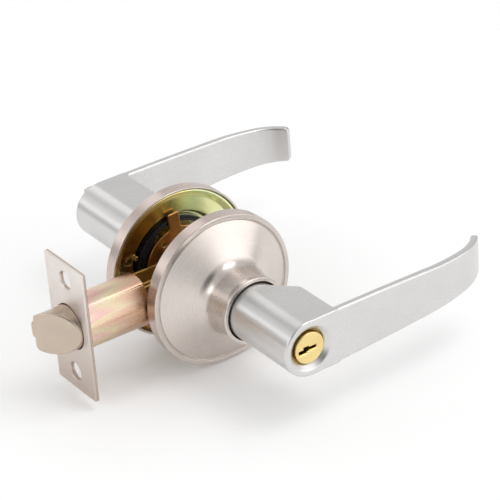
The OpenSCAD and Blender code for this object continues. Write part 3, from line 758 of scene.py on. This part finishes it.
TUBE_WALL = 0.8
TUBE_FLAT = 10.3                                    # the pressed flats' distance from the axis
FLAT_LEAN = math.radians(36.4)                      # how far each flat is turned up from Y
CREASE = math.acos(TUBE_FLAT / TUBE_R)              # where a flat ends, from its middle
UPPER_CREASE, LOWER_CREASE, CREASE_W = 0.28, 0.16, 0.014
TUBE_SIDES = 540
RIM_STEPS = ((0.5, 0.0), (0.3, 0.0), (0.08, 0.1), (0.0, 0.3))   # from the rear end, and inwards


def tube_radius(angle, inset):
    """The tube's radius round its section: two pressed flats, each edged by a fine crease."""
    r = np.full_like(angle, TUBE_R - inset)
    for centre, side in ((FLAT_LEAN, 1), (math.pi - FLAT_LEAN, -1)):
        away = angle - centre
        flat = (TUBE_FLAT - inset) / np.maximum(np.cos(away), 0.2)
        r = np.where(np.cos(away) > 0, np.minimum(r, flat), r)
        if inset == 0:
            for edge, depth in ((side * CREASE, UPPER_CREASE), (-side * CREASE, LOWER_CREASE)):
                r = r - depth * np.exp(-((away - edge) / CREASE_W) ** 2)
    return r


def latch_tube():
    """The tube as a loft of its section, open at both ends, with a rounded rear rim."""
    angles = np.linspace(0, 2 * math.pi, TUBE_SIDES, endpoint=False)
    outside = [(TUBE_X0, 0.0), (TUBE_X0 + 0.2, 0.0)]
    outside += [(TUBE_X1 - far, inset) for far, inset in RIM_STEPS]
    rings = outside + [(x, TUBE_WALL - inset) for x, inset in outside[::-1]]
    outer, inner = tube_radius(angles, 0.0), tube_radius(angles, TUBE_WALL)
    verts = []
    for x, inset in rings:
        r = outer + (inner - outer) * inset / TUBE_WALL
        verts += [(x, a * math.cos(t), a * math.sin(t)) for a, t in zip(r, angles)]
    n, m = len(angles), len(rings)
    faces = [(i * n + (j + 1) % n, i * n + j, (i + 1) % m * n + j, (i + 1) % m * n + (j + 1) % n)
             for i in range(m) for j in range(n)]
    return new_object("tube_rolled", verts, faces)


finish_piece(latch_tube(), tube_metal, "latch_case", "chromate", "latch_tube")

# ---------- bolt and deadlatch plunger ----------

BOLT_SIDE = 6.3         # the flat that faces the plunger
BEVEL_X = -BACKSET - 0.8
BEVEL_Y = 4.8           # the bevel runs from BEVEL_X, a little past the side, to BEVEL_Y at the tip
BEVEL_PAST = 0.3
PLUNGER_Z = 3.6         # half the plunger's width


def bolt_shape(x, y, z):
    """The round bolt with a flat for its plunger and a bevel towards the strike."""
    along = np.array([BOLT_TIP - BEVEL_X, BEVEL_Y + BOLT_R + BEVEL_PAST])
    along = along / np.hypot(*along)
    bevel = (x - BEVEL_X) * -along[1] + (y + BOLT_R + BEVEL_PAST) * along[0]
    body = meet(np.hypot(y, z) - BOLT_R, between(x, BOLT_TIP, BOLT_REAR), 0.6)
    body = meet(body, y - BOLT_SIDE, 0.3)
    return meet(body, bevel, 0.55)


def plunger_shape(x, y, z):
    body = meet(np.hypot(y, z) - BOLT_R, BOLT_SIDE + 0.05 - y, 0.3)
    body = meet(body, np.abs(z) - PLUNGER_Z, 0.5)
    return meet(body, between(x, BOLT_TIP, PLUNGER_REAR), 1.4)


finish_piece(solid("bolt_cast", bolt_shape, (BOLT_TIP, -BOLT_R, -BOLT_R),
                   (BOLT_REAR, BOLT_SIDE, BOLT_R), 0.32),
             bolt_metal, "latch_bolt", "bolt_nickel", "latch_bolt")
finish_piece(solid("plunger_pressed", plunger_shape, (BOLT_TIP, BOLT_SIDE, -PLUNGER_Z),
                   (PLUNGER_REAR, BOLT_R, PLUNGER_Z), 0.22),
             bolt_metal, "deadlatch", "bolt_nickel", "deadlatch_plunger")

# ---------- key plug ----------

PLUG_FACE_R = 6.6
PLUG_R = 5.5
FLANGE_T = 3.9
KEYWAY = ((-4.9, -1.2, -1.6, -0.1), (-2.6, -0.3, -1.2, 0.9), (-0.8, 3.2, -0.9, 0.3))    # x0, x1, z0, z1
KEYWAY_DEPTH = 14
KEYWAY_EASE = 0.7       # how far in its mouth is wider


def keyway_shape(x, d, z):
    """The stepped slot for the key, wider at its mouth."""
    slot = np.min([np.maximum(between(x, *step[:2]), between(z, *step[2:])) for step in KEYWAY], axis=0)
    ease = 0.5 * np.clip(d - PLUG_FRONT + KEYWAY_EASE, 0, KEYWAY_EASE)
    return np.maximum(slot - ease, PLUG_FRONT - KEYWAY_DEPTH - d)


def plug_shape(x, d, z):
    """The plug: a barrel behind a rounded face, with the keyway."""
    radius = np.hypot(x, z)
    flange = meet(radius - PLUG_FACE_R, between(d, PLUG_FRONT - FLANGE_T, PLUG_FRONT), 0.3)
    barrel = np.maximum(radius - PLUG_R, between(d, PLUG_REAR + 1, PLUG_FRONT - 1))
    return cut_from(np.minimum(flange, barrel), keyway_shape(x, d, z), 0.15)


finish_piece(solid("plug_turned", plug_shape, (-PLUG_FACE_R, PLUG_REAR + 1, -PLUG_FACE_R),
                   (PLUG_FACE_R, PLUG_FRONT, PLUG_FACE_R), 0.2, True),
             gold_brass, "key_plug", "polished_brass", "key_plug")

# ---------- turn button ----------

BUTTON_R = 8.0
BUTTON_WALL = 1.1       # the rim left round the recess
RECESS = 0.5
GRIP_H = 5.0
GRIP_W = 5.8
GRIP_IN = 0.6           # how far the grip's ends lie inside the button's side
BUTTON_FLANGE_R, BUTTON_FLANGE_T = 8.9, 0.9


def button_shape(x, d, z):
    """A round button with a raised grip across a shallow recess."""
    radius = np.hypot(x, z)
    flange = np.maximum(radius - BUTTON_FLANGE_R, between(d, BUTTON_BACK, BUTTON_BACK + BUTTON_FLANGE_T))
    body = meet(radius - BUTTON_R, between(d, BUTTON_BACK, BUTTON_FACE - GRIP_H), 0.5)
    recess = np.maximum(radius - BUTTON_R + BUTTON_WALL, BUTTON_FACE - GRIP_H - RECESS - d)
    body = cut_from(body, recess, 0.25)
    grip = meet(np.abs(x) - GRIP_W / 2, radius - BUTTON_R + GRIP_IN, 0.5)
    grip = meet(grip, between(d, BUTTON_BACK + 1, BUTTON_FACE), 0.6)
    return np.minimum(join(body, grip, 0.3), flange)


finish_piece(solid("button_turned", button_shape, (-BUTTON_FLANGE_R, BUTTON_BACK, -BUTTON_FLANGE_R),
                   (BUTTON_FLANGE_R, BUTTON_FACE, BUTTON_FLANGE_R), 0.26),
             button_metal, "turn_button", "button_nickel", "turn_button")

# ---------- return springs and their drivers ----------

SPRING_R0, SPRING_R1 = 16.8, 19.5
SPRING_TURNS = 2.25
SPRING_START = 120      # the angle of its inner end, in degrees
STRIP_T = 0.9
STRIP_ROUND = 0.22
STEPS_A_TURN = 96


def strip_section(half_t, half_h):
    """The outline of a strip with rounded corners."""
    section = []
    for u, v, a in ((1, 1, 0), (-1, 1, 90), (-1, -1, 180), (1, -1, 270)):
        centre = (u * (half_t - STRIP_ROUND), v * (half_h - STRIP_ROUND))
        section += arc(centre, STRIP_ROUND, a, a + 90, 4)
    return section


def swept_faces(rings, sides):
    """The side faces and both end caps of a section swept through rings of points."""
    faces = [(i * sides + j, (i + 1) * sides + j, (i + 1) * sides + (j + 1) % sides,
              i * sides + (j + 1) % sides) for i in range(rings) for j in range(sides)]
    return faces + [tuple(range(sides)), tuple(rings * sides + j for j in range(sides - 1, -1, -1))]


def return_spring(name, exterior):
    """A flat strip with rounded edges, wound in a spiral."""
    steps = int(STEPS_A_TURN * SPRING_TURNS)
    half_h = (SPRING_END - SPRING_D) / 2
    section = strip_section(STRIP_T / 2, half_h)
    verts = []
    for i in range(steps + 1):
        angle = math.radians(SPRING_START + 360 * SPRING_TURNS * i / steps)
        r = SPRING_R0 + (SPRING_R1 - SPRING_R0) * i / steps
        verts += [((r + u) * math.cos(angle), SPRING_D + half_h + v, (r + u) * math.sin(angle))
                  for u, v in section]
    return placed(name, np.array(verts), swept_faces(steps, len(section)), exterior)


DRIVER_R = 15.8
DRIVER_T = 0.8
DRIVER_BORE_R = 9.0
DRIVER_HOLES = ((-6.6, 10.4), (6.6, -10.4), (10.4, 6.6), (-10.4, -6.6))
DRIVER_HOLE_R = 1.1
TAB_R = 22.6
TAB_W = 5.2
TAB_ANGLE = 93


def driver_shape(x, d, z):
    """A stamped disc with one tab, four holes and a bore for its sleeve."""
    radius = np.hypot(x, z)
    cos, sin = polar(1, TAB_ANGLE)
    out, over = x * cos + z * sin, -x * sin + z * cos
    tab = meet(np.abs(over) - TAB_W / 2, np.maximum(out - TAB_R, -out), 0.5)
    outline = join(radius - DRIVER_R, tab, 1.0)
    outline = cut_from(outline, radius - DRIVER_BORE_R, 0.1)
    for x0, z0 in DRIVER_HOLES:
        outline = cut_from(outline, np.hypot(x - x0, z - z0) - DRIVER_HOLE_R, 0.1)
    return meet(outline, between(d, DRIVER_D, DRIVER_D + DRIVER_T), 0.18)


def spring_driver(name, exterior):
    return solid(name, driver_shape, (-DRIVER_R, DRIVER_D, -DRIVER_R),
                 (DRIVER_R, DRIVER_D + DRIVER_T, TAB_R), 0.25, exterior)


for side, is_exterior in (("exterior", True), ("interior", False)):
    finish_piece(return_spring(side + "_spring_strip", is_exterior), spring_black,
                 side + "_half", "blued_steel", side + "_return_spring")
    finish_piece(spring_driver(side + "_driver_stamped", is_exterior), driver_metal,
                 side + "_lever", "copper_chromate", side + "_spring_driver")

# ---------- coil springs ----------

COIL_STEPS, WIRE_SIDES = 24, 10


def coil(name, node, wire_r, turns, axis):
    """A helical spring of round wire that fills its CAD node's box."""
    low, high = (np.array([corner(node, end, a) for a in AXES]) for end in (0, 1))
    length = (high - low)[AXES.index(axis)]
    coil_r = (high - low)[1] / 2 - wire_r
    rings = int(turns * COIL_STEPS)
    i, j = np.meshgrid(np.arange(rings + 1), np.arange(WIRE_SIDES), indexing="ij")
    turn, side = 2 * math.pi * i / COIL_STEPS, 2 * math.pi * j / WIRE_SIDES
    out = coil_r + wire_r * np.cos(side)
    along = wire_r + (length - 2 * wire_r) * i / rings + wire_r * np.sin(side) - length / 2
    verts = np.stack([out * np.cos(turn), out * np.sin(turn), along], axis=-1).reshape(-1, 3)
    if axis == "x":
        verts = np.stack([verts[:, 2], verts[:, 1], -verts[:, 0]], axis=1)
    faces = [f[::-1] for f in swept_faces(rings, WIRE_SIDES)]
    return new_object(name, verts + (low + high) / 2, faces)


def sprung(node, body, wire_r, turns, axis):
    """A coil spring that rides on a body in place of its CAD node, with a mesh of its own."""
    piece = coil(node + "_wire", node, wire_r, turns, axis)
    finish_piece(piece, zinc_steel, body, "zinc_steel", node)
    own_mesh(piece)


sprung("bolt_spring", "latch_case", 0.45, 8, "x")
sprung("plunger_spring", "latch_bolt", 0.24, 11, "x")
for side in ("exterior", "interior"):
    sprung(side + "_catch_spring", side + "_lever", 0.25, 3, "z")

# ---------- floor, light and camera ----------

FLOOR_Z = -0.0323       # just under the roses
FLOOR_HALF = 3.0


def floor():
    """A plain white floor."""
    h = FLOOR_HALF
    mesh = bpy.data.meshes.new("floor")
    mesh.from_pydata([(-h, -h, FLOOR_Z), (h, -h, FLOOR_Z), (h, h, FLOOR_Z), (-h, h, FLOOR_Z)], [],
                     [(0, 1, 2, 3)])
    s = Shader("floor_white")
    s.set(Base_Color=(0.95, 0.95, 0.95, 1), Roughness=0.9, Specular_IOR_Level=0.1,
          Emission_Color=(1, 1, 1, 1), Emission_Strength=0.12)
    mesh.materials.append(s.material)
    add_to_scene("floor", mesh)


def softbox(name, place, target, size, radiance):
    """A soft rectangular light of a given brightness."""
    light = bpy.data.lights.new(name, "AREA")
    light.shape = "RECTANGLE"
    light.size, light.size_y = size
    light.energy = math.pi * size[0] * size[1] * radiance
    lamp = add_to_scene(name, light)
    lamp.location = place
    lamp.rotation_euler = (Vector(target) - Vector(place)).to_track_quat("-Z", "Y").to_euler()


# Soft bright and dark fields of the studio round the object: direction, reach in degrees, brightness.
FIELDS = [((0.62, -0.74, 0.22), 38, 0.9), ((-0.46, -0.68, 0.42), 33, -0.68),
          ((0.95, 0.30, 0.05), 32, -0.30), ((-0.57, 0.735, 0.33), 12, 0.72),
          ((-0.25, 0.735, 0.63), 14, -0.55), ((0.14, 0.735, 0.66), 13, 0.22),
          ((-0.68, 0.73, 0.02), 16, -0.45), ((-0.85, 0.10, 0.49), 15, 1.6),
          ((-0.32, 0.12, 0.94), 10, -0.25), ((0.30, 0.10, 0.95), 22, 0.25)]
LOW_SKY, HIGH_SKY = (0.05, 0.92), (0.75, 0.70)      # height of a direction, brightness


def studio():
    """Three softboxes in a pale room, which the metal reflects."""
    softbox("key_above", (0.30, -0.30, 0.80), (0, -0.02, 0), (0.5, 0.4), 2.4)
    softbox("fill_left", (-0.80, -0.10, 0.50), (-0.02, 0, 0), (0.5, 0.5), 0.5)
    softbox("back_rim", (-0.10, 0.80, 0.60), (0, 0, 0), (0.8, 0.4), 0.5)
    world = bpy.data.worlds.new("studio")
    bpy.context.scene.world = world
    world.use_nodes = True
    room = Nodes(world.node_tree)
    away = room.add("ShaderNodeTexCoord").outputs["Generated"]
    height = room.add("ShaderNodeSeparateXYZ", [away]).outputs["Z"]
    total = room.remap(height, LOW_SKY[0], HIGH_SKY[0], LOW_SKY[1], HIGH_SKY[1], "SMOOTHSTEP")
    for direction, reach, gain in FIELDS:
        facing = room.dot(away, Vector(direction).normalized())
        field = room.remap(facing, math.cos(math.radians(reach)), 1.0, 0.0, gain, "SMOOTHSTEP")
        total = room.math("ADD", total, field)
    room.feed(room.tree.nodes["Background"].inputs["Color"], total)


CAMERA_PLACE = Vector((-0.47032, -0.75975, 0.52062))
CAMERA_TURN = (-33.133, 29.817, -4.636)   # azimuth, elevation and roll, in degrees
LENS, SENSOR = 186.7, 36.0                # in millimetres


def camera():
    """The camera of the photo, as fitted to it."""
    data = bpy.data.cameras.new("camera")
    data.lens = LENS
    data.sensor_width = SENSOR
    data.clip_start = 0.05
    obj = add_to_scene("camera", data)
    azimuth, elevation, roll = (math.radians(a) for a in CAMERA_TURN)
    turn = (Matrix.Rotation(azimuth, 3, "Z") @ Matrix.Rotation(math.pi / 2 - elevation, 3, "X")
            @ Matrix.Rotation(roll, 3, "Z"))
    obj.matrix_world = Matrix.Translation(CAMERA_PLACE) @ turn.to_4x4()
    bpy.context.scene.camera = obj


floor()
studio()
camera()
bpy.context.scene.view_settings.view_transform = "Standard"
